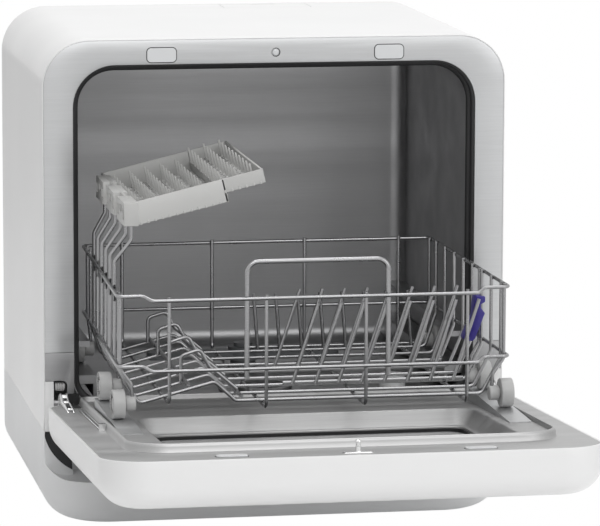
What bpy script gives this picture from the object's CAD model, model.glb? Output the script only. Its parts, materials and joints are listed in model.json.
"""Countertop dishwasher: finishes and fine shapes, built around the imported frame.

Everything is in metres, in the part's own frame: X to the right, Y back into the cabinet, Z up.
Door pieces are drawn with the door shut and then swung open about the hinge axis."""
import json
import math

import bmesh
import bpy
from mathutils import Matrix, Vector


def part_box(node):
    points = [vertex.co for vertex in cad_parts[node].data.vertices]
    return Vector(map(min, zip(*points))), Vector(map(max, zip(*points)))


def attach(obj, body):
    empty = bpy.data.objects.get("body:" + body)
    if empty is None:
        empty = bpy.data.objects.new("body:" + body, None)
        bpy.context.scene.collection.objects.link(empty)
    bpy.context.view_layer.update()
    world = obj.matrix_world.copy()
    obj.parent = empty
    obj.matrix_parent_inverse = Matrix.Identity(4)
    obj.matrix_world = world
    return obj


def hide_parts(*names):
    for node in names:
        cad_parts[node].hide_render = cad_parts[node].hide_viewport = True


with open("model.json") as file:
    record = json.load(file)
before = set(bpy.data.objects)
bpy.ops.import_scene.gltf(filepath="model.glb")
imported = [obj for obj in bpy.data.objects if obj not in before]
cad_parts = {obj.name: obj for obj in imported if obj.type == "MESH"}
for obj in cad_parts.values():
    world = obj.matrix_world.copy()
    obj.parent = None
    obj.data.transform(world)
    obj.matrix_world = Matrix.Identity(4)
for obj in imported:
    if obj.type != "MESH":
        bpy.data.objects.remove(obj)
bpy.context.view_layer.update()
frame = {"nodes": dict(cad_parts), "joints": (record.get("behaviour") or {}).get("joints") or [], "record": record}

MM = 0.001

# ---------------------------------------------------------------- sizes, the frame's where it has them

JOINTS = {joint["name"]: joint for joint in frame["joints"]}
SHELL_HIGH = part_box("cabinet_shell")[1]
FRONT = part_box("front_frame")[0].y              # plane of the front frame
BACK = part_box("rear_cover")[1].y
HALF_W = SHELL_HIGH.x
TOP = SHELL_HIGH.z
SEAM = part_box("base_housing")[1].z
HINGE = Vector(JOINTS["door_hinge"]["pos_m"])
TILT = math.radians(-JOINTS["door_hinge"]["range_deg"][0])
HINGE_OUT = FRONT - HINGE.y
HINGE_UP = 24 * MM                              # the hinge axis above the shut door's foot
SWING = (HINGE_OUT ** 2 + HINGE_UP ** 2) ** 0.5 + 1.6 * MM      # room for the door's end
DOOR_CORNER, RECESS_GAP = 20 * MM, 2 * MM
DOOR_T = 41.5 * MM
LATCH_Z = 421.5 * MM

BODY_R = 42 * MM                                # long top edges of the cabinet
WALL = 2.2 * MM
OPENING_HALF = 182.5 * MM
OPENING_TOP = 412 * MM
OPENING_R = 38 * MM
TUB_FLOOR, TUB_LOW_R = 104 * MM, 26 * MM
SLOT_TOP = 129.2 * MM                           # top of the hinge slots
BASE_R = 60 * MM                                # upright front corners of the base
TUB_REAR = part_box("tub")[1].y - 1.6 * MM
CORNER_STEPS = 14                               # facets in a quarter of a smooth corner


def shut_to_open():
    """Turns what is drawn with the door shut to the open door."""
    turn = Matrix.Rotation(math.pi / 2 - TILT, 4, "X")
    return Matrix.Translation(HINGE) @ turn @ Matrix.Translation(-HINGE)


DOOR_OPEN = shut_to_open()


def from_front(x, y, z):
    """A point given in mm, its y from the front plane."""
    return Vector((x * MM, FRONT + y * MM, z * MM))


def middle(node):
    """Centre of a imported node's box."""
    low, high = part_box(node)
    return (low + high) / 2


# ---------------------------------------------------------------- outlines and meshes

def arc(cx, cy, radius, start, end, steps=CORNER_STEPS):
    """Points of an arc, angles in degrees."""
    points = []
    for i in range(steps + 1):
        a = math.radians(start + (end - start) * i / steps)
        points.append((cx + radius * math.cos(a), cy + radius * math.sin(a)))
    return points


def rounded(x0, x1, z0, z1, low_r, top_r, steps=CORNER_STEPS):
    """Closed outline of a rectangle whose lower corners have low_r and upper ones top_r."""
    low_r = max(low_r, 1e-5)
    top_r = max(top_r, 1e-5)
    return (arc(x1 - low_r, z0 + low_r, low_r, -90, 0, steps)
            + arc(x1 - top_r, z1 - top_r, top_r, 0, 90, steps)
            + arc(x0 + top_r, z1 - top_r, top_r, 90, 180, steps)
            + arc(x0 + low_r, z0 + low_r, low_r, 180, 270, steps))


def make_object(name, bm, smooth_angle=35):
    """Turns a bmesh into an object at the origin, its normals outwards and its soft edges smooth."""
    bmesh.ops.remove_doubles(bm, verts=bm.verts, dist=1e-6)
    bmesh.ops.dissolve_degenerate(bm, edges=bm.edges, dist=1e-7)
    bmesh.ops.recalc_face_normals(bm, faces=bm.faces)
    mesh = bpy.data.meshes.new(name)
    bm.to_mesh(mesh)
    bm.free()
    piece = bpy.data.objects.new(name, mesh)
    bpy.context.scene.collection.objects.link(piece)
    shade(piece, smooth_angle)
    return piece


def shade(piece, smooth_angle=35):
    """Smooth shading, with edges sharper than the angle kept crisp."""
    limit = math.radians(smooth_angle)
    bm = bmesh.new()
    bm.from_mesh(piece.data)
    for face in bm.faces:
        face.smooth = True
    for edge in bm.edges:
        edge.smooth = edge.is_manifold and edge.calc_face_angle(0) < limit
    bm.to_mesh(piece.data)
    bm.free()


def loft(bm, loops, close=False):
    """Skins closed loops of equal length; close joins the last to the first, else both are capped."""
    rings = [[bm.verts.new(p) for p in loop] for loop in loops]
    pairs = list(zip(rings, rings[1:]))
    if close:
        pairs.append((rings[-1], rings[0]))
    n = len(rings[0])
    for a, b in pairs:
        for i in range(n):
            j = (i + 1) % n
            bm.faces.new((a[i], a[j], b[j], b[i]))
    if not close:
        bm.faces.new(rings[0])
        bm.faces.new(rings[-1])


def on_front(outline, y):
    """An outline in X and Z, placed at a distance y."""
    return [Vector((x, y, z)) for x, z in outline]


def lathe(bm, profile, centre, axis, steps=40, close=False):
    """Turns a profile of (along, radius) points about an axis through centre."""
    axis = Vector(axis).normalized()
    side = axis.orthogonal().normalized()
    other = axis.cross(side)
    rings = []
    for along, radius in profile:
        ring = []
        for i in range(steps):
            a = 2 * math.pi * i / steps
            ring.append(Vector(centre) + axis * along
                        + (side * math.cos(a) + other * math.sin(a)) * max(radius, 1e-5))
        rings.append(ring)
    loft(bm, rings, close)


def in_mm(profile):
    """Pairs given in mm, in metres."""
    return [(along * MM, radius * MM) for along, radius in profile]


def rod(bm, start, axis, length, radius, steps):
    """A plain round bar with flat ends."""
    lathe(bm, [(0, 0), (0, radius), (length, radius), (length, 0)], start, axis, steps)


def slab(bm, outline, x0, x1):
    """An outline of (y, z) points in mm, drawn out between two places in X."""
    loft(bm, [[from_front(x, y, z) for y, z in outline] for x in (x0, x1)])


def box(bm, low, high):
    """An axis-aligned block between two corners."""
    low, high = Vector(low), Vector(high)
    made = bmesh.ops.create_cube(bm, size=1)
    for v in made["verts"]:
        v.co = Vector((low[i] + (v.co[i] + 0.5) * (high[i] - low[i]) for i in range(3)))
    return made["verts"]


def bevel(piece, width, segments=3, angle=30):
    """Rounds the sharp edges of a finished mesh and keeps the result."""
    modifier = piece.modifiers.new("bevel", "BEVEL")
    modifier.width = width
    modifier.segments = segments
    modifier.limit_method = "ANGLE"
    modifier.angle_limit = math.radians(angle)
    bake(piece)
    shade(piece, 40)


def bake(piece):
    """Applies a piece's modifiers to its mesh."""
    graph = bpy.context.evaluated_depsgraph_get()
    graph.update()
    mesh = bpy.data.meshes.new_from_object(piece.evaluated_get(graph))
    old = piece.data
    piece.modifiers.clear()
    piece.data = mesh
    mesh.name = piece.name
    bpy.data.meshes.remove(old)


def cut(piece, cutters, operation="DIFFERENCE"):
    """Cuts a piece with the cutters and deletes them."""
    for cutter in cutters:
        modifier = piece.modifiers.new("cut", "BOOLEAN")
        modifier.operation = operation
        modifier.solver = "EXACT"
        modifier.object = cutter
    bake(piece)
    for cutter in cutters:
        bpy.data.objects.remove(cutter)


def block_cutter(low, high):
    bm = bmesh.new()
    box(bm, low, high)
    return make_object("cutter", bm)


def bar_cutter(centre, axis, length, radius, steps=96):
    bm = bmesh.new()
    lathe(bm, [(0, radius), (length, radius)], centre, axis, steps)
    return make_object("cutter", bm)


def place(piece, matrix):
    """Moves a piece's mesh, so its object stays at the origin."""
    piece.data.transform(matrix)
    piece.data.update()


def mirrored(bm):
    """Adds the other side of a bmesh, across X."""
    made = bmesh.ops.duplicate(bm, geom=bm.verts[:] + bm.edges[:] + bm.faces[:])["geom"]
    verts = [g for g in made if isinstance(g, bmesh.types.BMVert)]
    faces = [g for g in made if isinstance(g, bmesh.types.BMFace)]
    for v in verts:
        v.co.x = -v.co.x
    bmesh.ops.reverse_faces(bm, faces=faces)


def finish_piece(piece, body, material, slot, *nodes):
    """Gives a finished piece its material, its body, its slot and the nodes it stands for."""
    piece.data.materials.clear()
    piece.data.materials.append(material)
    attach(piece, body)
    if nodes:
        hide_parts(*nodes)


# ---------------------------------------------------------------- finishes

def new_group(name, inputs, outputs):
    """An empty shader group with named sockets; returns it with its two end nodes."""
    group = bpy.data.node_groups.new(name, "ShaderNodeTree")
    for label, kind, value in inputs:
        socket = group.interface.new_socket(label, in_out="INPUT", socket_type=kind)
        socket.default_value = value
    for label, kind in outputs:
        group.interface.new_socket(label, in_out="OUTPUT", socket_type=kind)
    return group, group.nodes.new("NodeGroupInput"), group.nodes.new("NodeGroupOutput")


def feed(tree, sockets, values):
    """Links or sets each socket; a value is another node's output or a plain value."""
    for socket, value in zip(sockets, values):
        if hasattr(value, "is_output"):
            tree.links.new(value, socket)
        else:
            socket.default_value = value


def math_node(tree, operation, a, b):
    node = tree.nodes.new("ShaderNodeMath")
    node.operation = operation
    feed(tree, node.inputs, (a, b))
    return node.outputs[0]


def map_range(tree, value, from_min, from_max, to_min, to_max):
    node = tree.nodes.new("ShaderNodeMapRange")
    feed(tree, node.inputs, (value, from_min, from_max, to_min, to_max))
    return node.outputs[0]


def mix_colour(tree, factor, a, b):
    node = tree.nodes.new("ShaderNodeMix")
    node.data_type = "RGBA"
    feed(tree, (node.inputs[0], node.inputs[6], node.inputs[7]), (factor, a, b))
    return node.outputs[2]


def noise(tree, vector, scale, detail=3.0, roughness=0.5):
    node = tree.nodes.new("ShaderNodeTexNoise")
    sockets = [node.inputs[label] for label in ("Detail", "Roughness", "Scale", "Vector")]
    feed(tree, sockets, (detail, roughness, scale, vector))
    return node.outputs["Fac"]


def object_place(tree):
    """The point on the piece, in its own coordinates."""
    return tree.nodes.new("ShaderNodeTexCoord").outputs["Object"]


def brushed_group():
    """Fine parallel scratches from brushing, with slow streaks across them."""
    group, start, end = new_group(
        "Brushed grain", [("Direction stretch", "NodeSocketVector", (1, 1, 1)),
                          ("Scale", "NodeSocketFloat", 900.0)],
        [("Grain", "NodeSocketFloat"), ("Streaks", "NodeSocketFloat")])
    stretch = group.nodes.new("ShaderNodeVectorMath")
    stretch.operation = "MULTIPLY"
    feed(group, stretch.inputs, (object_place(group), start.outputs[0]))
    fine = noise(group, stretch.outputs[0], start.outputs[1], 4.0, 0.65)
    slow_scale = math_node(group, "MULTIPLY", start.outputs[1], 0.035)
    slow = noise(group, stretch.outputs[0], slow_scale, 2.0)
    feed(group, end.inputs, (fine, slow))
    return group


def skin_group():
    """Moulded plastic's fine texture and the slow unevenness of its gloss."""
    group, start, end = new_group(
        "Moulded skin", [("Texture scale", "NodeSocketFloat", 1400.0)],
        [("Texture", "NodeSocketFloat"), ("Gloss", "NodeSocketFloat")])
    point = object_place(group)
    feed(group, end.inputs, (noise(group, point, start.outputs[0], 2.0),
                             noise(group, point, 9.0, 3.0)))
    return group


def handling_group():
    """A mask of faint smears and dust, patchy over the surface."""
    group, start, end = new_group(
        "Handling marks", [("Patch scale", "NodeSocketFloat", 14.0),
                           ("Amount", "NodeSocketFloat", 0.5)],
        [("Mask", "NodeSocketFloat")])
    point = object_place(group)
    patches = noise(group, point, start.outputs[0], 4.0, 0.6)
    fine_scale = math_node(group, "MULTIPLY", start.outputs[0], 30.0)
    specks = noise(group, point, fine_scale, 2.0)
    soft = map_range(group, patches, 0.42, 0.75, 0.0, 1.0)
    both = math_node(group, "MULTIPLY", soft, map_range(group, specks, 0.3, 0.7, 0.6, 1.0))
    feed(group, end.inputs, (math_node(group, "MULTIPLY", both, start.outputs[1]),))
    return group


BRUSHED = brushed_group()
SKIN = skin_group()
HANDLING = handling_group()


def new_material(name):
    material = bpy.data.materials.new(name)
    material.use_nodes = True
    return material, material.node_tree, material.node_tree.nodes["Principled BSDF"]


def settings(tree, node, **values):
    """Feeds a node's inputs by their labels, written with underscores for spaces."""
    feed(tree, [node.inputs[label.replace("_", " ")] for label in values], values.values())


def use_group(tree, group, **values):
    node = tree.nodes.new("ShaderNodeGroup")
    node.node_tree = group
    settings(tree, node, **values)
    return node


def add_bump(tree, shader, height, strength, distance):
    bump = tree.nodes.new("ShaderNodeBump")
    settings(tree, bump, Strength=strength, Distance=distance, Height=height)
    settings(tree, shader, Normal=bump.outputs["Normal"])


def rgba(colour, factor=1.0):
    return tuple(c * factor for c in colour) + (1.0,)


def plastic(name, colour, roughness, texture=0.12, coat=0.0, marks=0.35, scale=1400.0):
    """Moulded plastic: fine skin, uneven gloss and faint handling marks."""
    material, tree, shader = new_material(name)
    skin = use_group(tree, SKIN, Texture_scale=scale)
    dirt = use_group(tree, HANDLING, Amount=marks)
    tint = mix_colour(tree, dirt.outputs[0], rgba(colour), rgba(colour, 0.93))
    gloss = map_range(tree, skin.outputs[1], 0.3, 0.7, roughness * 0.85, roughness * 1.15)
    worn = math_node(tree, "ADD", gloss, math_node(tree, "MULTIPLY", dirt.outputs[0], 0.08))
    settings(tree, shader, Base_Color=tint, Roughness=worn, Coat_Weight=coat, Coat_Roughness=0.08)
    add_bump(tree, shader, skin.outputs[0], texture, 0.0002)
    return material


def metal(name, colour, roughness, stretch, grain=0.1, scale=900.0, contrast=0.10, marks=0.3):
    """Brushed metal; the brushing runs where stretch is smallest."""
    material, tree, shader = new_material(name)
    brushed = use_group(tree, BRUSHED, Direction_stretch=stretch, Scale=scale)
    dirt = use_group(tree, HANDLING, Amount=marks)
    shade_mask = map_range(tree, brushed.outputs[0], 0.3, 0.7, 0.0, 1.0)
    tint = mix_colour(tree, shade_mask, rgba(colour, 1 - contrast), rgba(colour, 1 + contrast))
    smear = mix_colour(tree, dirt.outputs[0], tint, rgba(colour, 0.86))
    uneven = map_range(tree, brushed.outputs[1], 0.3, 0.7, roughness * 0.82, roughness * 1.2)
    smeared = math_node(tree, "ADD", uneven, math_node(tree, "MULTIPLY", dirt.outputs[0], 0.1))
    settings(tree, shader, Base_Color=smear, Roughness=smeared, Metallic=1.0)
    add_bump(tree, shader, brushed.outputs[0], grain, 0.0001)
    return material


def glass(name, colour, alpha):
    """Dark tinted panel with faint water marks in its gloss."""
    material, tree, shader = new_material(name)
    clean, marked = 0.05, 0.16
    dirt = use_group(tree, HANDLING, Amount=0.5, Patch_scale=22.0)
    tint = mix_colour(tree, dirt.outputs[0], rgba(colour), rgba(colour, 1.6))
    gloss = map_range(tree, dirt.outputs[0], 0.0, 1.0, clean, marked)
    settings(tree, shader, Base_Color=tint, Roughness=gloss, Coat_Weight=0.6, Coat_Roughness=0.03,
             Alpha=alpha)
    return material


def board(name, colour):
    """Circuit board: solder resist with a fine pattern of tracks under it."""
    material, tree, shader = new_material(name)
    tracks = tree.nodes.new("ShaderNodeTexVoronoi")
    tracks.distance = "CHEBYCHEV"
    settings(tree, tracks, Scale=180.0, Vector=object_place(tree))
    edge = map_range(tree, tracks.outputs["Distance"], 0.25, 0.4, 0.0, 1.0)
    settings(tree, shader, Base_Color=mix_colour(tree, edge, rgba(colour), rgba(colour, 1.5)),
             Roughness=map_range(tree, edge, 0.0, 1.0, 0.3, 0.45))
    return material


ALONG_X, ALONG_Y, NO_GRAIN = (0.02, 1.0, 1.0), (1.0, 0.02, 1.0), (1.0, 1.0, 1.0)
SHELL = plastic("glossy white shell", (0.77, 0.77, 0.77), 0.34, texture=0.0, coat=0.12, marks=0.0)
BASE = plastic("satin white base", (0.74, 0.745, 0.75), 0.42, texture=0.15)
FRAME = metal("brushed frame", (0.50, 0.505, 0.51), 0.42, ALONG_X,
              grain=0.03, contrast=0.035, marks=0.1)
PANEL = metal("brushed door panel", (0.41, 0.41, 0.41), 0.50, ALONG_X,
              grain=0.04, contrast=0.05, marks=0.15)
COVER = metal("hinge cover metal", (0.34, 0.34, 0.345), 0.42, ALONG_X, grain=0.03, contrast=0.035)
TUB = metal("dark brushed tub", (0.40, 0.40, 0.405), 0.42, ALONG_X,
            grain=0.04, contrast=0.03, marks=0.15)
STEEL = metal("plain steel", (0.70, 0.70, 0.70), 0.22, ALONG_Y, scale=600.0)
WIRE = metal("coated rack wire", (0.33, 0.33, 0.335), 0.27, NO_GRAIN, scale=500.0, contrast=0.05)
RUBBER = plastic("black seal rubber", (0.012, 0.012, 0.013), 0.55, texture=0.3, marks=0.8)
LIGHT = plastic("light grey plastic", (0.47, 0.47, 0.467), 0.40, texture=0.15)
PAD = plastic("clear grey pad", (0.68, 0.69, 0.70), 0.22, texture=0.04, coat=0.4)
GREY = plastic("grey plastic", (0.13, 0.135, 0.14), 0.45, texture=0.2)
TRAY = plastic("grey tray plastic", (0.50, 0.50, 0.49), 0.42, texture=0.12)
BLUE = plastic("blue clip plastic", (0.03, 0.02, 0.22), 0.35, texture=0.1)
PUMP = metal("painted pump body", (0.24, 0.25, 0.26), 0.5, NO_GRAIN, scale=300.0)
DARK_GLASS = glass("dark glass", (0.012, 0.013, 0.014), 0.92)
BOARD = board("board green", (0.02, 0.10, 0.04))
SLOT_FINISH = {"shell_white": SHELL, "base_white": BASE, "frame_metal": FRAME, "tub_steel": TUB,
               "seal_rubber": RUBBER, "light_plastic": LIGHT, "grey_plastic": GREY,
               "pump_metal": PUMP, "dark_glass": DARK_GLASS, "board_green": BOARD,
               "rack_wire": WIRE, "tray_plastic": TRAY, "blue_plastic": BLUE}


def dress_nodes():
    """Every node carried over from the frame takes the finish of its slot."""
    for part in frame["record"]["subparts"]:
        node = frame["nodes"][part["node"]]
        node.data.materials.clear()
        node.data.materials.append(SLOT_FINISH[part["material_slot"]])


dress_nodes()


# ---------------------------------------------------------------- cabinet

PAST_SIDES = 250 * MM                           # half length of cutters that pass both sides


def strip_between(bm, outer, inner):
    """Faces between two open rows of vertices."""
    for i in range(len(outer) - 1):
        bm.faces.new((outer[i], outer[i + 1], inner[i + 1], inner[i]))


def hood_path(foot_z, half, top, radius):
    """Open path up one side, over the top and down the other."""
    return ([(half, foot_z)] + arc(half - radius, top - radius, radius, 0, 90)
            + arc(-half + radius, top - radius, radius, 90, 180) + [(-half, foot_z)])


def hood(bm, sections, foot_z):
    """Skins a hood from (y, outer, inner) sections, each side a (half width, top, radius)."""
    rows = [[[bm.verts.new((x, y, z)) for x, z in hood_path(foot_z, *side)] for side in sides]
            for y, *sides in sections]
    for (outer_a, inner_a), (outer_b, inner_b) in zip(rows, rows[1:]):
        strip_between(bm, outer_a, outer_b)
        strip_between(bm, inner_b, inner_a)
        for end in (0, -1):
            bm.faces.new((outer_a[end], outer_b[end], inner_b[end], inner_a[end]))
    strip_between(bm, *rows[0])
    strip_between(bm, *rows[-1])


def inset_body(inset):
    """The cabinet's own section, drawn in all round."""
    return (HALF_W - inset, TOP - inset, BODY_R - inset)


def cabinet_wrap():
    """The white wrap: both sides and the top in one sheet, its front lip rounded over."""
    lip, lip_depth = 1.1 * MM, 2.1 * MM
    front, wall, soft = FRONT + 0.1 * MM, inset_body(WALL), 0.35 * MM
    bm = bmesh.new()
    hood(bm, [(front, inset_body(2 * soft), inset_body(lip)),
              (front + 0.3 * soft, inset_body(0.9 * soft), inset_body(lip)),
              (front + soft, inset_body(0.3 * soft), inset_body(lip)),
              (front + 2 * soft, inset_body(0), inset_body(lip)),
              (FRONT + lip_depth, inset_body(0), inset_body(lip)),
              (FRONT + lip_depth, inset_body(0), wall),
              (BACK - 0.8 * MM, inset_body(0), wall),
              (BACK, inset_body(0.8 * MM), wall)], SEAM + 0.1 * MM)
    wrap = make_object("cabinet_wrap", bm)
    lid_low, lid_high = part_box("filler_lid")
    gap, through = 0.5 * MM, 20 * MM
    cut(wrap, [block_cutter((lid_low.x - gap, lid_low.y - gap, TOP - through),
                            (lid_high.x + gap, lid_high.y + gap, TOP + through)),
               bar_cutter((-PAST_SIDES, HINGE.y, HINGE.z), (1, 0, 0), 2 * PAST_SIDES, SWING)])
    shade(wrap)
    finish_piece(wrap, "cabinet", SHELL, "shell_white", "cabinet_shell")


def hinge_strips():
    """White strips beside the hinge slots, below the frame's covers."""
    bm = bmesh.new()
    for side in (-1, 1):
        low, high = sorted((side * (HALF_W - 9 * MM), side * (HALF_W - 1 * MM)))
        box(bm, (low, FRONT + 0.1 * MM, SEAM + 0.2 * MM),
            (high, FRONT + 1.9 * MM, SLOT_TOP - 0.3 * MM))
    strips = make_object("hinge_strips", bm)
    bevel(strips, 0.5 * MM)
    finish_piece(strips, "cabinet", SHELL, "shell_white")


def front_plate():
    """Brushed metal frame around the opening, its edges eased."""
    leg_z, ease, outer = 155 * MM, 0.4 * MM, 1.2 * MM
    bm = bmesh.new()

    def section(y, trim):
        return (y, inset_body(outer + trim),
                (OPENING_HALF + trim, OPENING_TOP + trim, OPENING_R + trim))
    hood(bm, [section(FRONT, ease), section(FRONT + 0.12 * MM, 0.3 * ease),
              section(FRONT + ease, 0), section(FRONT + 2 * MM, 0)], leg_z)
    plate = make_object("front_plate", bm)
    cut(plate, [bar_cutter((0, FRONT - 10 * MM, LATCH_Z), (0, 1, 0), 20 * MM, 4 * MM)])
    shade(plate, 50)
    finish_piece(plate, "cabinet", FRAME, "frame_metal", "front_frame")


def hinge_cover_plates():
    """The short metal covers that carry the frame's legs down past the hinges."""
    bm = bmesh.new()
    notch_r, top = 5 * MM, 154.6 * MM
    x0, x1, x2 = OPENING_HALF, 188.8 * MM, HALF_W - 1.2 * MM
    outline = ([(x0, TUB_FLOOR), (x1, TUB_FLOOR)]
               + arc(x1 + notch_r, SLOT_TOP - notch_r, notch_r, 180, 90, 6)
               + [(x2, SLOT_TOP), (x2, top), (x0, top)])
    loft(bm, [on_front(outline, FRONT + y) for y in (0, 2 * MM)])
    mirrored(bm)
    covers = make_object("hinge_cover_plates", bm)
    bevel(covers, 0.35 * MM)
    finish_piece(covers, "cabinet", COVER, "frame_metal", "hinge_covers")


def cushion_pads(name, body, centre_z, half_z, y0, y1, swing=False):
    """A pair of soft-edged pads, each with a dark line of seal around its foot."""
    pad_x, half_x, round_r, ease, rim = 103 * MM, 13 * MM, 3.6 * MM, 0.9 * MM, 0.8 * MM
    bm = bmesh.new()
    ring = bmesh.new()
    edge = [(ease * (1 - math.cos(a)), y1 + (y0 - y1) * 0.25 * (1 - math.sin(a)))
            for a in (math.radians(18 * k) for k in range(6))]
    for x in (-pad_x, pad_x):
        def loop(inset, y):
            r = round_r - inset
            return on_front(rounded(x - half_x + inset, x + half_x - inset,
                                    centre_z - half_z + inset, centre_z + half_z - inset, r, r, 6), y)
        pad = [loop(inset, y) for inset, y in [(0, y0)] + edge]
        loft(bm, pad)
        lift = Vector((0, (y1 - y0) * 0.08, 0))
        outer, foot = loop(-rim, y0), pad[0]
        loft(ring, [outer, [p + lift for p in outer], [p + lift for p in foot], foot], close=True)
    pads = make_object(name, bm, 50)
    seals = make_object(name + "_seals", ring, 50)
    if swing:
        place(pads, DOOR_OPEN)
        place(seals, DOOR_OPEN)
    finish_piece(seals, body, RUBBER, "seal_rubber")
    finish_piece(pads, body, PAD, "light_plastic", "door_pads" if swing else "frame_pads")


def latch_pin():
    """Domed pin that the latch shows in the frame's round hole."""
    bm = bmesh.new()
    lathe(bm, in_mm([(0, 0), (0, 3.5), (-1.2, 3.5), (-1.9, 2.7), (-2.2, 1.4), (-2.25, 0)]),
          (0, FRONT + 2.6 * MM, LATCH_Z), (0, 1, 0), 32)
    finish_piece(make_object("latch_pin", bm, 50), "cabinet", PAD, "light_plastic")


def opening_ring(inset, y):
    """The tub's section, drawn in by inset, at a distance y."""
    return on_front(rounded(-OPENING_HALF + inset, OPENING_HALF - inset, TUB_FLOOR + inset,
                            OPENING_TOP - inset, TUB_LOW_R - inset, OPENING_R - inset), y)


def tub_liner():
    """Deep-drawn steel tub with rounded rear corners."""
    rear_r, sheet = 14 * MM, 0.8 * MM
    sump_r, post_r, float_r = 34.2 * MM, 6 * MM, 3.4 * MM
    under, drill = 90 * MM, 30 * MM
    inner, outer = [], []
    wide = rear_r + sheet
    for k in range(13):
        a = math.radians(7.5 * k)
        inner.append(opening_ring(rear_r * (1 - math.cos(a)),
                                  TUB_REAR - rear_r + rear_r * math.sin(a)))
        outer.append(opening_ring(wide * (1 - math.cos(a)) - sheet,
                                  TUB_REAR - rear_r + wide * math.sin(a)))
    front = FRONT + 2.05 * MM
    bm = bmesh.new()
    loft(bm, inner[::-1] + [opening_ring(0, front), opening_ring(-sheet, front)] + outer)
    tub = make_object("tub_liner", bm)
    holes = [bar_cutter((middle(node).x, middle(node).y, under), (0, 0, 1), drill, radius, steps)
             for node, radius, steps in (("filter_plate", sump_r, 96), ("spray_post", post_r, 32),
                                         ("float_dome", float_r, 32))]
    cut(tub, holes + [block_cutter((-194 * MM, FRONT - 5 * MM, under),
                                   (194 * MM, FRONT + 9.5 * MM, 112 * MM))])
    shade(tub)
    finish_piece(tub, "cabinet", TUB, "tub_steel", "tub")


def hinge_rollers():
    """Ribbed guide rollers that show in the hinge slots."""
    bm = bmesh.new()
    profile = [(0, 0), (0, 3.6)]
    for rib in range(4):
        start = 0.5 + 2.1 * rib
        profile += [(start, 4.3), (start + 1.3, 4.3), (start + 1.7, 3.7)]
    profile += [(9.2, 3.6), (9.2, 0)]
    lathe(bm, in_mm(profile), from_front(-199.8, 6, 123.4), (1, 0, 0), 24)
    mirrored(bm)
    finish_piece(make_object("hinge_rollers", bm, 40), "cabinet", LIGHT, "light_plastic")


def panel_z(y, up):
    """Height of the open door's inner face at a distance y (mm), raised by up."""
    return (HINGE.z / MM + (HINGE_OUT / MM + up - math.sin(TILT) * (y + HINGE_OUT / MM))
            / math.cos(TILT))


def hinge_links():
    """Twin bright links that reach from each slot onto the door's margin, with their pins."""
    axis_y, axis_z = -HINGE_OUT / MM, HINGE.z / MM
    outer = [(axis_y + r * math.cos(math.radians(a)), axis_z + r * math.sin(math.radians(a)))
             for r, sweep in ((57.6, range(34, 66, 4)), (51.4, range(62, 33, -4))) for a in sweep]
    foot = [(-15.5, panel_z(-15.5, 0.4)), (-16.5, panel_z(-16, 9.5)), (-22, panel_z(-22, 11.5)),
            (-29, panel_z(-29, 9.5)), (-36, panel_z(-36, 6.2)), (-74, panel_z(-74, 2.6)),
            (-77.5, panel_z(-77.5, 0.4))]
    bm = bmesh.new()
    for x in (191.7, 196.7):
        for outline in (outer, foot):
            slab(bm, outline, x, x + 1.6)
    for y, up, radius in ((-22.5, 7.4, 2.9), (-33, 4.0, 1.9), (-66, 1.9, 1.4)):
        rod(bm, from_front(191.5, y, panel_z(y, up)), (1, 0, 0), 6.9 * MM, radius * MM, 24)
    mirrored(bm)
    links = make_object("hinge_links", bm, 40)
    bevel(links, 0.3 * MM, 2, 40)
    finish_piece(links, "door", STEEL, "tub_steel", "hinge_arm_left", "hinge_arm_right")


def hinge_hollows():
    """Dark ends of the sill seal and of the slots in the panel's foot, beside the hinges."""
    bm = bmesh.new()
    box(bm, from_front(178.5, -0.8, 108), from_front(188.5, -0.1, 117.4))
    mirrored(bm)
    finish_piece(make_object("sill_seal_ends", bm), "cabinet", RUBBER, "seal_rubber")
    bm = bmesh.new()
    slot = [(-19.8, 0.1), (-19.8, 0.6), (-43.5, 0.6), (-43.5, 0.1)]
    slab(bm, [(y, panel_z(y, up)) for y, up in slot], 182.1, 189.2)
    mirrored(bm)
    finish_piece(make_object("panel_slots", bm), "door", RUBBER, "seal_rubber")


def margin_bars():
    """Two thin bars on the panel's left margin, along the rim's foot, and their bracket."""
    bm = bmesh.new()
    for x in (-183.2, -186.2):
        start, end = [from_front(x, y, panel_z(y, 1.3)) for y in (-64, -206)]
        rod(bm, start, end - start, (end - start).length, 0.8 * MM, 12)
    bracket = [(-204, 0.1), (-204, 6.5), (-206.2, 7.2), (-208, 6.5), (-208, 0.1)]
    slab(bm, [(y, panel_z(y, up)) for y, up in bracket], -187.4, -182.0)
    finish_piece(make_object("margin_bars", bm, 40), "door", STEEL, "tub_steel")


def bulb_gasket():
    """Black rubber seal with a rounded lip behind the frame, and the dark lining before it."""
    profile = [(9.6, 0.1), (9.6, 2.2), (10.2, 4.2), (11.6, 5.5), (13.2, 5.85), (14.8, 5.4),
               (16.0, 4.0), (16.5, 2.2), (16.5, 0.1)]
    bm = bmesh.new()
    loft(bm, [opening_ring(inset, FRONT + depth) for depth, inset in in_mm(profile)], close=True)
    gasket = make_object("bulb_gasket", bm, 60)
    finish_piece(gasket, "cabinet", RUBBER, "seal_rubber", "door_gasket")
    bm = bmesh.new()
    back = 0.05 * MM
    hood(bm, [(FRONT + depth, (OPENING_HALF - back, OPENING_TOP - back, OPENING_R),
               (OPENING_HALF - i, OPENING_TOP - i, OPENING_R - i))
              for depth, i in in_mm([(2.2, 1.2), (3.0, 2.6), (6.0, 3.0), (9.5, 2.0)])], 118 * MM)
    finish_piece(make_object("gasket_lining", bm, 60), "cabinet", RUBBER, "seal_rubber")


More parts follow.
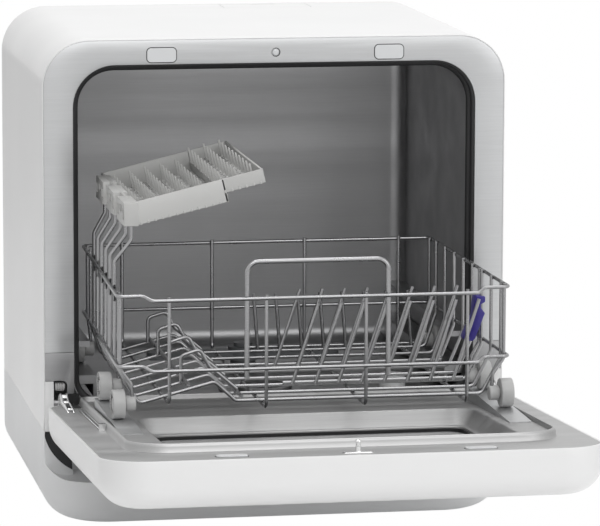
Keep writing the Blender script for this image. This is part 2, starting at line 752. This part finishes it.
def base_body():
    """Lower housing with a rounded underside and the recess that the door's end swings in."""
    edge_r, foot, sheet, steps = 28 * MM, 2.5 * MM, 2.6 * MM, 12
    chin, throat_half, throat_y = 43 * MM, 184 * MM, 24 * MM
    above = 200 * MM

    def ring(z, side, rear):
        cx, cy, r = HALF_W - BASE_R, FRONT + BASE_R - DOOR_T, BASE_R - side
        plan = (arc(cx, cy, r, -90, 0, 18)
                + [(HALF_W - side, BACK - rear), (-HALF_W + side, BACK - rear)]
                + arc(-cx, cy, r, 180, 270, 18))
        return [Vector((x, y, z)) for x, y in plan]

    def layers(inset, top):
        rings = []
        for k in range(steps + 1):
            a = math.radians(90 * k / steps)
            z = foot + inset + (edge_r - inset) * (1 - math.cos(a))
            rings.append(ring(z, inset + (edge_r - inset) * (1 - math.sin(a)), inset))
        return rings + [ring(top, inset, inset)]

    def swing_room(grow):
        half, r = HALF_W + RECESS_GAP + grow, DOOR_CORNER + RECESS_GAP + grow
        bm = bmesh.new()
        loft(bm, [on_front(rounded(-half, half, chin - grow, above, r, 1 * MM), FRONT + y * MM)
                  for y in (-120, 80)])
        bar = bar_cutter((-PAST_SIDES, HINGE.y, HINGE.z), (1, 0, 0), 2 * PAST_SIDES, SWING + grow)
        cut(bar, [make_object("prism", bm)], "INTERSECT")
        return bar

    def cuts(grow):
        return [swing_room(grow),
                block_cutter((-throat_half - grow, FRONT - 80 * MM, chin - grow),
                             (throat_half + grow, FRONT + throat_y + grow, above))]

    bm = bmesh.new()
    loft(bm, layers(0, SEAM))
    body = make_object("base_body", bm)
    bm = bmesh.new()
    loft(bm, layers(sheet, SEAM + 5 * MM))
    hollow = make_object("hollow", bm)
    cut(hollow, cuts(sheet))
    slots = bmesh.new()
    for x in range(-150, 151, 20):
        box(slots, from_front(x - 3, 120, -10), from_front(x + 3, 180, 8))
    vents = make_object("vents", slots)
    cut(body, cuts(0) + [hollow, vents])
    shade(body)
    finish_piece(body, "cabinet", BASE, "base_white", "base_housing")


def recess_lining():
    """Black lining in the base's cheeks beside the door's end, its outer edge an arc."""
    x0, low, high, layers = 184.3 * MM, 47.6 * MM, 82.7 * MM, 20
    arc_x, arc_z, arc_r = 165 * MM, 88 * MM, 45 * MM
    reach = SWING - 0.05 * MM
    bm = bmesh.new()
    rows = []
    for i in range(layers + 1):
        z = low + (high - low) * i / layers
        back = -HINGE_OUT + (reach ** 2 - (z - HINGE.z) ** 2) ** 0.5
        across = BASE_R - DOOR_T - back
        x1 = min(HALF_W - BASE_R + (BASE_R ** 2 - across ** 2) ** 0.5,
                 arc_x + (arc_r ** 2 - (arc_z - z) ** 2) ** 0.5) - 0.15 * MM
        rows.append([Vector((x, FRONT + back - d, z))
                     for x, d in ((x0, 0), (x1, 0), (x1, 0.4 * MM), (x0, 0.4 * MM))])
    loft(bm, rows)
    mirrored(bm)
    finish_piece(make_object("recess_lining", bm), "cabinet", RUBBER, "seal_rubber")


cabinet_wrap()
hinge_strips()
front_plate()
hinge_cover_plates()
cushion_pads("frame_cushion_pads", "cabinet", 420.5 * MM, 6.3 * MM, FRONT, FRONT - 0.6 * MM)
latch_pin()
hinge_rollers()
hinge_links()
hinge_hollows()
margin_bars()
tub_liner()
bulb_gasket()
base_body()
recess_lining()


# ---------------------------------------------------------------- door, drawn shut

DOOR_FOOT = 45 * MM
DOOR_TOP = 434.5 * MM
DOOR_EDGE, DOOR_TOP_R = 26 * MM, 41 * MM
RIM_H, FIELD_H = 7.5 * MM, 3 * MM               # raised rim and the field inside it
PAN = (181.5 * MM, 48 * MM, 386 * MM)           # half width, foot and top of the rim
DISH = (148 * MM, 177 * MM, 380 * MM)
WINDOW = (137 * MM, 189 * MM, 370 * MM)
DISH_DEPTH = -11 * MM
FRONT_WINDOW = (135 * MM, 215 * MM, 365 * MM)


def door_ring(inset, y):
    """The door's outline drawn in by inset, at a depth y behind its shut face."""
    low_r = max(DOOR_CORNER - inset, 1 * MM)
    top_r = max(DOOR_TOP_R - inset, 1 * MM)
    return on_front(rounded(-HALF_W + inset, HALF_W - inset, DOOR_FOOT + inset, DOOR_TOP - inset,
                            low_r, top_r), FRONT + y)


def field_ring(field, low_r, top_r, inset, y):
    """The outline of one of the fields inside the door, drawn in by inset."""
    half, foot, top = field
    return on_front(rounded(-half + inset, half - inset, foot + inset, top - inset,
                            max(low_r - inset, 0.5 * MM), max(top_r - inset, 0.5 * MM)), FRONT + y)


def door_body():
    """Pillow-shaped white outer door, its rim turned over around the inner panel."""
    skin, steps, window_r = 2.5 * MM, 16, 14 * MM
    window, back = [field_ring(FRONT_WINDOW, window_r, window_r, 0, y)
                    for y in (-DOOR_T, -DOOR_T + skin)]

    def pillow(inset):
        rings = []
        for k in range(steps + 1):
            a = math.radians(90 * k / steps)
            y = -DOOR_T + DOOR_EDGE - (DOOR_EDGE - inset) * math.sin(a)
            rings.append(door_ring(inset + (DOOR_EDGE - inset) * (1 - math.cos(a)), y))
        return rings
    rim = [door_ring(inset, y) for inset, y in in_mm([(0, -0.7), (0.2, -0.2), (0.7, 0), (1.9, 0),
                                                      (2.4, -0.3), (2.5, -0.9)])]
    bm = bmesh.new()
    loft(bm, [window] + pillow(0)[::-1] + rim + pillow(skin) + [back], close=True)
    door = make_object("door_body", bm)
    place(door, DOOR_OPEN)
    finish_piece(door, "door", SHELL, "shell_white", "door_shell")


def door_panel():
    """Pressed metal inner panel: flat margin, raised rim, sunk field and a dish at the window."""
    edge = 2.65
    pan, dish, window = (PAN, 10 * MM, 38 * MM), (DISH, 18 * MM, 33 * MM), (WINDOW, 16 * MM, 25 * MM)
    loops = [door_ring(i, y) for i, y in in_mm([(edge, -1.4), (edge, -0.2), (edge + 0.2, 0)])]
    for field, level, steps in (
            (pan, 0, [(-1.6, 0), (-0.8, 0.2), (-0.2, 1.0)]),
            (pan, RIM_H, [(0.1, -2.8), (0.45, -1.5), (1.0, -0.55), (1.6, -0.1), (2.2, 0),
                          (2.8, -0.1), (3.2, -0.5), (3.45, -1.2)]),
            (pan, FIELD_H, [(3.6, 1.0), (4.0, 0.3), (4.8, 0)]),
            (dish, FIELD_H, [(-2.6, 0), (-1.6, -0.15), (-0.7, -0.6), (0, -1.5)]),
            (dish, DISH_DEPTH, [(5.4, 2.6), (6.2, 1.1), (7.4, 0.3), (9.0, 0)]),
            (window, DISH_DEPTH, [(-0.6, 0), (0, -0.5), (0, -2.8)])):
        loops += [field_ring(*field, inset, level + rise) for inset, rise in in_mm(steps)]
    bm = bmesh.new()
    loft(bm, loops, close=True)
    panel = make_object("door_panel", bm)
    place(panel, DOOR_OPEN)
    finish_piece(panel, "door", PANEL, "frame_metal", "door_inner_panel")


def striker():
    """Upright striker on its foot plate, with a waist that the latch closes on."""
    half, below, above, corner = 12.6 * MM, 5.6 * MM, 3.6 * MM, 2.5 * MM
    bm = bmesh.new()
    loft(bm, [on_front(rounded(-half + i, half - i, LATCH_Z - below + i, LATCH_Z + above - i,
                               corner, corner, 6), FRONT + y)
              for i, y in in_mm([(0, 0), (0, 0.6), (0.4, 1)])])
    lathe(bm, in_mm([(0.5, 3.0), (1.2, 2.5), (1.8, 2.4), (5.6, 2.4), (6, 1.8), (8.6, 1.8), (9, 2.4),
                     (10.4, 2.2), (11, 1.5)]), (0, FRONT, LATCH_Z), (0, 1, 0), 28)
    piece = make_object("latch_striker", bm, 40)
    place(piece, DOOR_OPEN)
    finish_piece(piece, "door", STEEL, "frame_metal", "door_striker")


door_body()
door_panel()
striker()
cushion_pads("door_cushion_pads", "door", 416.5 * MM, 5.5 * MM, FRONT, FRONT + 1.2 * MM, True)


# ---------------------------------------------------------------- wire rack

def wire_tree():
    """Geometry Nodes: rounds the bends of drawn lines and sweeps a round wire along them."""
    tree = bpy.data.node_groups.new("Bent wire", "GeometryNodeTree")
    for label, kind in (("Lines", "NodeSocketGeometry"), ("Diameter", "NodeSocketFloat"),
                        ("Bend radius", "NodeSocketFloat"), ("Finish", "NodeSocketMaterial")):
        tree.interface.new_socket(label, in_out="INPUT", socket_type=kind)
    tree.interface.new_socket("Wire", in_out="OUTPUT", socket_type="NodeSocketGeometry")
    start, end = tree.nodes.new("NodeGroupInput"), tree.nodes.new("NodeGroupOutput")
    to_curve = tree.nodes.new("GeometryNodeMeshToCurve")
    fillet = tree.nodes.new("GeometryNodeFilletCurve")
    fillet.mode = "POLY"
    profile = tree.nodes.new("GeometryNodeCurvePrimitiveCircle")
    sweep = tree.nodes.new("GeometryNodeCurveToMesh")
    realize = tree.nodes.new("GeometryNodeRealizeInstances")
    paint = tree.nodes.new("GeometryNodeSetMaterial")
    radius = math_node(tree, "MULTIPLY", start.outputs["Diameter"], 0.5)
    settings(tree, to_curve, Mesh=start.outputs["Lines"])
    settings(tree, fillet, Curve=to_curve.outputs["Curve"], Radius=start.outputs["Bend radius"],
             Count=5, Limit_Radius=True)
    settings(tree, profile, Resolution=10, Radius=radius)
    settings(tree, sweep, Curve=fillet.outputs["Curve"], Profile_Curve=profile.outputs["Curve"],
             Fill_Caps=True)
    settings(tree, realize, Geometry=sweep.outputs["Mesh"])
    settings(tree, paint, Geometry=realize.outputs["Geometry"], Material=start.outputs["Finish"])
    feed(tree, end.inputs, (paint.outputs["Geometry"],))
    return tree


def set_input(modifier, label, value):
    for item in modifier.node_group.interface.items_tree:
        if item.name == label and item.in_out == "INPUT":
            modifier[item.identifier] = value


WIRE_TREE = wire_tree()


def wires(name, lines, diameter, bend, body, slot, material, *nodes):
    """A piece of bent wires; each line is (points in mm from the frame's front plane, closed)."""
    bm = bmesh.new()
    for points, closed in lines:
        row = [bm.verts.new(from_front(*point)) for point in points]
        for a, b in zip(row, row[1:]):
            bm.edges.new((a, b))
        if closed:
            bm.edges.new((row[-1], row[0]))
    mesh = bpy.data.meshes.new(name)
    bm.to_mesh(mesh)
    bm.free()
    piece = bpy.data.objects.new(name, mesh)
    bpy.context.scene.collection.objects.link(piece)
    modifier = piece.modifiers.new("wire", "NODES")
    modifier.node_group = WIRE_TREE
    set_input(modifier, "Diameter", diameter * MM)
    set_input(modifier, "Bend radius", bend * MM)
    set_input(modifier, "Finish", material)
    bake(piece)
    shade(piece, 60)
    finish_piece(piece, body, material, slot, *nodes)


RACK_FRONT, RACK_REAR = -197.0, 96.0
RACK_HALF, RACK_REAR_HALF = 170.0, 162.0
RIM, LOW_RIM, FLOOR = 236.5, 176.0, 141.0
PROUD = 8.0                                     # how far the middle of the front stands forward
DROP = 3.3                                      # and how far lower it lies
UPRIGHTS = (-126.5, -43.0, 43.5, 132.0)
WIRE_D, HANDLE_D = 3.2, 4.5
SIDE_STEP, SIDE_COUNT = 34.0, 8
TUCK = WIRE_D - 0.3                             # one wire's depth inside another
RIDGE_X, RIDGE_Z, RIDGE_FOOT = -84.0, 158.0, -66.0   # the rise in the floor under the cups
WHEEL_YS = (-190.0, -104.0, 84.0)
WHEEL_R = 12.5
WHEEL_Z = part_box("wheel_left_1")[0].z / MM + WHEEL_R
HUB_X, WHEEL_X = 154.0, 163.6                   # inner ends of the hubs and of the wheels
FLOOR_HALF = 150.0                              # where the cross wires start to rise
POST_TOP, POST_X = 298.0, 151.0                 # posts that carry the cutlery tray


def side_x(y):
    """Half width of the rack at a distance y."""
    along = (y - RACK_FRONT) / (RACK_REAR - RACK_FRONT)
    return RACK_HALF + (RACK_REAR_HALF - RACK_HALF) * along


def side_ys():
    return [RACK_REAR - 38 - i * SIDE_STEP for i in range(SIDE_COUNT)]


def rim_line(z):
    """One rim: a closed loop whose front steps forward between the joggles."""
    step_x, run = 141.0, 7.0
    front, mid, h, r = RACK_FRONT, RACK_FRONT - PROUD, RACK_HALF, RACK_REAR_HALF
    low = z - DROP
    return ([(-h, front, z), (-step_x - run, front, z), (-step_x, mid, low), (step_x, mid, low),
             (step_x + run, front, z), (h, front, z), (r, RACK_REAR, z), (-r, RACK_REAR, z)], True)


def basket_lines():
    """Rims, cross wires that rise into both sides, and long wires up the front and rear."""
    lines = [rim_line(RIM), rim_line(LOW_RIM)]
    for y in side_ys():
        x = side_x(y) - TUCK
        lines.append(([(-x, y, RIM + 2.5), (-x, y, LOW_RIM - 4), (-FLOOR_HALF, y, FLOOR),
                       (RIDGE_X, y, RIDGE_Z), (RIDGE_FOOT, y, FLOOR), (FLOOR_HALF, y, FLOOR),
                       (x, y, LOW_RIM - 4), (x, y, RIM + 2.5)], False))
    for x in UPRIGHTS:
        low = FLOOR - TUCK + (6.0 if x < RIDGE_X else 0)
        front = RACK_FRONT - PROUD + TUCK
        rear = RACK_REAR - TUCK
        lines.append(([(x, front, RIM - DROP + 3), (x, front, low + 3), (x, front + 6, low),
                       (x, rear, low), (x, rear, RIM + 3)], False))
    for side in (-1, 1):
        for y in WHEEL_YS:
            x = side_x(y) - TUCK
            lines.append(([(side * x, y, RIM + 2), (side * x, y, LOW_RIM - 3),
                           (side * 157.5, y, WHEEL_Z + 17), (side * 156.5, y, WHEEL_Z + 3)],
                          False))
    return lines


def tine_lines():
    """Rows of leaning plate tines, each in the same place along its base wire."""
    first, step, count = -6.0, 20.5, 8
    z = FLOOR + TUCK
    lines = []
    for y, lean, rise in ((-118.0, 23.0, 70.0), (-28.0, 23.0, 68.0), (62.0, -4.0, 50.0)):
        lines.append(([(first - 8, y, z), (147.0, y, z)], False))
        for i in range(count):
            x = first + i * step
            lines.append(([(x, y - TUCK, z - 1.2), (x + lean, y - TUCK, z + rise)], False))
    return lines


def cup_rest_lines():
    """Loops with sloping tops for the cups, on two wires that lie along the ridge."""
    slope = (RIDGE_Z - FLOOR) / (RIDGE_X + FLOOR_HALF)
    rail_x, foot_x, front, rear = -106.0, -60.0, -176.0, 56.0
    rail_z = FLOOR + slope * (rail_x + FLOOR_HALF) + WIRE_D - 0.2
    loop_x = rail_x - WIRE_D + 0.4
    low = FLOOR + TUCK
    lines = [([(x, front, z), (x, rear, z)], False) for x, z in ((rail_x, rail_z), (foot_x, low))]
    for y in (-150.0, -82.0, -14.0, 50.0):
        lines.append(([(loop_x, y, rail_z - 2), (loop_x, y, 176.0), (-92.0, y, 181.0),
                       (-84.0, y, 166.0), (foot_x, y, low + 1.8)], False))
    return lines


def riser_lines():
    """Wires that rise from the left rim and crank inwards to carry the cutlery tray."""
    crank_low, crank_high = 259.0, 277.0
    lines = []
    for y in side_ys()[1:7]:
        x = side_x(y) - TUCK
        lines.append(([(-x, y, RIM - 12), (-x, y, crank_low), (-POST_X, y, crank_high),
                       (-POST_X, y, POST_TOP)], False))
    return lines


def handle_line():
    x0, x1, y = -59.7, 62.8, RACK_FRONT - PROUD + WIRE_D / 2 + HANDLE_D / 2 - 0.3
    top, foot = 264.5, LOW_RIM - DROP - 9
    return [([(x1, y, foot), (x1, y, top), (x0, y, top), (x0, y, foot)], False)]


def rack():
    slot = ("rack", "rack_wire", WIRE)
    wires("rack_basket", basket_lines(), WIRE_D, 6, *slot,
          "rack_front", "rack_rear", "rack_side_left", "rack_side_right", "rack_floor")
    wires("plate_tines", tine_lines(), WIRE_D, 4, *slot, "rack_tines")
    wires("cup_rest_loops", cup_rest_lines(), WIRE_D, 5, *slot, "cup_rests")
    wires("tray_risers", riser_lines(), WIRE_D, 7, *slot, "tray_posts")
    wires("rack_handle_loop", handle_line(), HANDLE_D, 10, *slot, "rack_handle")


rack()


def wheels():
    """Six wheels, each with a recessed face and a ring of short ribs."""
    profile = [(0, 4.1), (0, 11.7), (0.25, 12.25), (0.8, WHEEL_R), (10.0, WHEEL_R), (10.55, 12.25),
               (10.8, 11.8), (10.8, 11.5), (10.6, 11.2), (7.6, 11.1), (7.6, 4.1)]
    for side, word in ((-1, "left"), (1, "right")):
        for k, y in enumerate(WHEEL_YS, 1):
            bm = bmesh.new()
            hub = from_front(side * WHEEL_X, y, WHEEL_Z)
            lathe(bm, in_mm(profile), hub, (side, 0, 0), 48, close=True)
            for i in range(24):
                turn = Matrix.Translation(hub) @ Matrix.Rotation(math.radians(15 * i + 9), 4, "X")
                verts = box(bm, (side * 7.4 * MM, -0.6 * MM, 8.6 * MM),
                            (side * 10.7 * MM, 0.6 * MM, 11.3 * MM))
                for v in verts:
                    v.co = turn @ v.co
            node = "wheel_%s_%d" % (word, k)
            wheel = make_object(node + "_turned", bm, 40)
            finish_piece(wheel, node + "_body", LIGHT, "light_plastic", node)


def hubs():
    """Hubs that the carrier wires end in, with the stub axles and their caps."""
    bm = bmesh.new()
    profile = [(0, 0), (0, 5.6), (0.7, 6.4), (8.0, 6.4), (8.6, 5.9), (8.6, 4.0), (18.6, 4.0),
               (18.6, 5.4), (19.2, 5.4), (19.8, 4.4), (20.0, 2.4), (20.0, 0)]
    for side in (-1, 1):
        for y in WHEEL_YS:
            lathe(bm, in_mm(profile), from_front(side * HUB_X, y, WHEEL_Z), (side, 0, 0), 32)
    finish_piece(make_object("carrier_hubs", bm, 40), "rack", LIGHT, "light_plastic", "wheel_hubs")


TRAY_TILT = math.radians(13.5)
TRAY_LONG, TRAY_WIDE, TRAY_STEP = 196.0, 117.0, 80.0
TRAY_HIGH, TRAY_LOW = 20.0, 12.0
TRAY_CORNER = from_front(-147, -152, 290.5)


def cutlery_tray():
    """Tilted cutlery tray: ribbed floor on two levels, with comb teeth."""
    wall, rib, sink, lean = 1.8, 2.2, 0.4, 0.5
    long_pitch, cross_pitch, tooth_pitch, row_pitch = 6.4, 9.3, 14.2, 18.6
    rise = TRAY_HIGH - TRAY_LOW
    bm = bmesh.new()

    def block(x0, x1, y0, y1, z0, z1):
        return box(bm, (x0 * MM, y0 * MM, z0 * MM), (x1 * MM, y1 * MM, z1 * MM))
    block(0, wall, 0, TRAY_LONG, 0, TRAY_HIGH)
    block(TRAY_WIDE - wall, TRAY_WIDE, 0, TRAY_LONG, rise, TRAY_HIGH)
    block(TRAY_STEP - 0.2, TRAY_STEP + wall, 0, TRAY_LONG, 0, rise + rib)
    for y in (0, TRAY_LONG - wall):
        block(0, TRAY_STEP + wall, y, y + wall, 0, TRAY_HIGH)
        block(TRAY_STEP, TRAY_WIDE, y, y + wall, rise, TRAY_HIGH)
    for i in range(18):
        x = 4.2 + i * long_pitch
        z = 0 if x < TRAY_STEP - 3 else rise
        block(x - 0.9, x + 0.9, -0.5, TRAY_LONG, z - sink, z + rib)
    for j in range(21):
        y = 4 + j * cross_pitch
        block(0, TRAY_STEP, y, y + 2, 0, rib)
        block(TRAY_STEP, TRAY_WIDE, y, y + 2, rise, rise + rib)
    for j in range(10):
        y = 13.3 + j * row_pitch
        for i in range(8):
            x = 8 + i * tooth_pitch
            low, high = (rib, TRAY_HIGH - 2) if x < TRAY_STEP - 8 else (rise + rib, TRAY_HIGH + 5)
            for v in block(x, x + 2.6, y, y + 1.6, low - 0.3, high):
                if v.co.z > high * MM - 1e-6:
                    v.co.x += -lean * MM if v.co.x > (x + 1) * MM else lean * MM
    for v in bm.verts:
        x, z = v.co.x, v.co.z
        v.co.x = x * math.cos(TRAY_TILT) - z * math.sin(TRAY_TILT)
        v.co.z = x * math.sin(TRAY_TILT) + z * math.cos(TRAY_TILT)
        v.co += TRAY_CORNER
    tray = make_object("cutlery_tray_ribbed", bm)
    bevel(tray, 0.35 * MM, 2, 50)
    finish_piece(tray, "tray", TRAY, "tray_plastic", "cutlery_tray")


def tray_clips():
    """Three clips that hold the tray on its posts, each open at the back over its two wires."""
    half, wire_hole = 23.5, 1.95 * MM
    bm = bmesh.new()
    cutters = bmesh.new()
    ys = side_ys()
    for k in (1, 3, 5):
        y = (ys[k] + ys[k + 1]) / 2
        box(bm, from_front(-158, y - half, POST_TOP - 8), from_front(-145.6, y + half, POST_TOP + 12))
        for post_y in (y - SIDE_STEP / 2, y + SIDE_STEP / 2):
            lathe(cutters, [(0, wire_hole), (12 * MM, wire_hole)],
                  from_front(-POST_X, post_y, POST_TOP - 11.5), (0, 0, 1), 20)
            box(cutters, from_front(-160, post_y - 6, POST_TOP - 3),
                from_front(-154.6, post_y + 6, POST_TOP + 6))
        box(cutters, from_front(-160, y - 8, POST_TOP + 1.5),
            from_front(-151, y + 6, POST_TOP + 8))
    clips = make_object("tray_clips", bm)
    cut(clips, [make_object("cutter", cutters)])
    bevel(clips, 0.5 * MM, 2, 50)
    finish_piece(clips, "tray", TRAY, "tray_plastic")


def rinse_clip():
    """Blue clip on the rack's right side: a notched head and a narrowing tongue."""
    y = side_ys()[5]
    x = side_x(y) - TUCK
    outline = [(2.6, 215), (-5.5, 216), (-7, 207.5), (-7.5, 198), (-12, 188), (-16.5, 178),
               (-15.5, 175.5), (-8, 175.5), (-6, 178), (1.2, 197), (2.6, 200), (-1.4, 205),
               (-1.4, 208), (2.6, 210)]
    bm = bmesh.new()
    loft(bm, [[from_front(x + out, y + along, z) for out, z in outline] for along in (-4.0, 12.0)])
    clip = make_object("rinse_clip_shaped", bm)
    bevel(clip, 0.9 * MM, 3, 25)
    finish_piece(clip, "rack", BLUE, "blue_plastic", "rinse_clip")


wheels()
hubs()
cutlery_tray()
tray_clips()
rinse_clip()


# ---------------------------------------------------------------- camera, light and floor

def area_lamp(name, place_at, aim, size, energy):
    lamp = bpy.data.lights.new(name, "AREA")
    lamp.shape = "RECTANGLE"
    lamp.size, lamp.size_y = size
    lamp.energy = energy
    piece = bpy.data.objects.new(name, lamp)
    bpy.context.scene.collection.objects.link(piece)
    piece.location = place_at
    piece.rotation_euler = (Vector(aim) - Vector(place_at)).to_track_quat("-Z", "Y").to_euler()


def camera():
    """Long lens from the front left, a little above the top."""
    yaw, pitch, roll = 0.1791, 0.1537, 0.0031
    forward = Vector((math.sin(yaw) * math.cos(pitch), math.cos(yaw) * math.cos(pitch),
                      -math.sin(pitch)))
    right = Vector((math.cos(yaw), -math.sin(yaw), 0))
    up = right.cross(forward)
    across = right * math.cos(roll) + up * math.sin(roll)
    upwards = -right * math.sin(roll) + up * math.cos(roll)
    lens = bpy.data.cameras.new("camera")
    lens.lens = 249.43
    lens.sensor_width = 36
    lens.clip_start, lens.clip_end = 0.1, 50
    piece = bpy.data.objects.new("camera", lens)
    bpy.context.scene.collection.objects.link(piece)
    place_at = Vector((-0.6363, FRONT - 3.6385, 0.8035))
    turn = Matrix((across, upwards, -forward)).transposed().to_4x4()
    piece.matrix_world = Matrix.Translation(place_at) @ turn
    bpy.context.scene.camera = piece


def white_world():
    """Plain white for the camera, mirrors and glass; a soft grey sky, dimmer on the left, lights
    the rest."""
    world = bpy.data.worlds.new("white")
    world.use_nodes = True
    tree = world.node_tree
    tree.nodes.clear()
    output = tree.nodes.new("ShaderNodeOutputWorld")
    path = tree.nodes.new("ShaderNodeLightPath")
    seen, lit = tree.nodes.new("ShaderNodeBackground"), tree.nodes.new("ShaderNodeBackground")
    split = tree.nodes.new("ShaderNodeSeparateXYZ")
    settings(tree, split, Vector=tree.nodes.new("ShaderNodeTexCoord").outputs["Generated"])
    sky = map_range(tree, split.outputs["Z"], -0.2, 0.9, 0.35, 0.75)
    from_left = map_range(tree, split.outputs["X"], -0.9, 0.1, 0.55, 1.0)
    settings(tree, seen, Color=(1, 1, 1, 1))
    settings(tree, lit, Strength=math_node(tree, "MULTIPLY", sky, from_left))
    in_mirror = math_node(tree, "MAXIMUM", path.outputs["Is Glossy Ray"],
                          path.outputs["Is Transmission Ray"])
    plain_white = math_node(tree, "MAXIMUM", path.outputs["Is Camera Ray"], in_mirror)
    both = tree.nodes.new("ShaderNodeMixShader")
    feed(tree, both.inputs, (plain_white, lit.outputs[0], seen.outputs[0]))
    settings(tree, output, Surface=both.outputs[0])
    bpy.context.scene.world = world


def floor():
    """Pale ground under the feet; it lights the undersides and the camera does not see it."""
    bm = bmesh.new()
    bmesh.ops.create_grid(bm, x_segments=1, y_segments=1, size=6)
    ground = make_object("ground", bm)
    material, tree, shader = new_material("pale ground")
    settings(tree, shader, Base_Color=(0.9, 0.9, 0.9, 1), Roughness=0.9,
             Emission_Color=(1, 1, 1, 1), Emission_Strength=0.13)
    ground.data.materials.append(material)
    ground.visible_camera = False


camera()
white_world()
floor()
area_lamp("key", (-0.3, -2.5, 2.2), (0, 0, 0.2), (2.4, 1.6), 31)
area_lamp("fill", (1.8, -1.8, 1.2), (0, 0, 0.25), (1.4, 1.4), 10)
area_lamp("top", (0.1, 0.3, 2.4), (0, -0.1, 0.2), (1.8, 1.4), 22)
scene = bpy.context.scene
scene.view_settings.view_transform = "Standard"
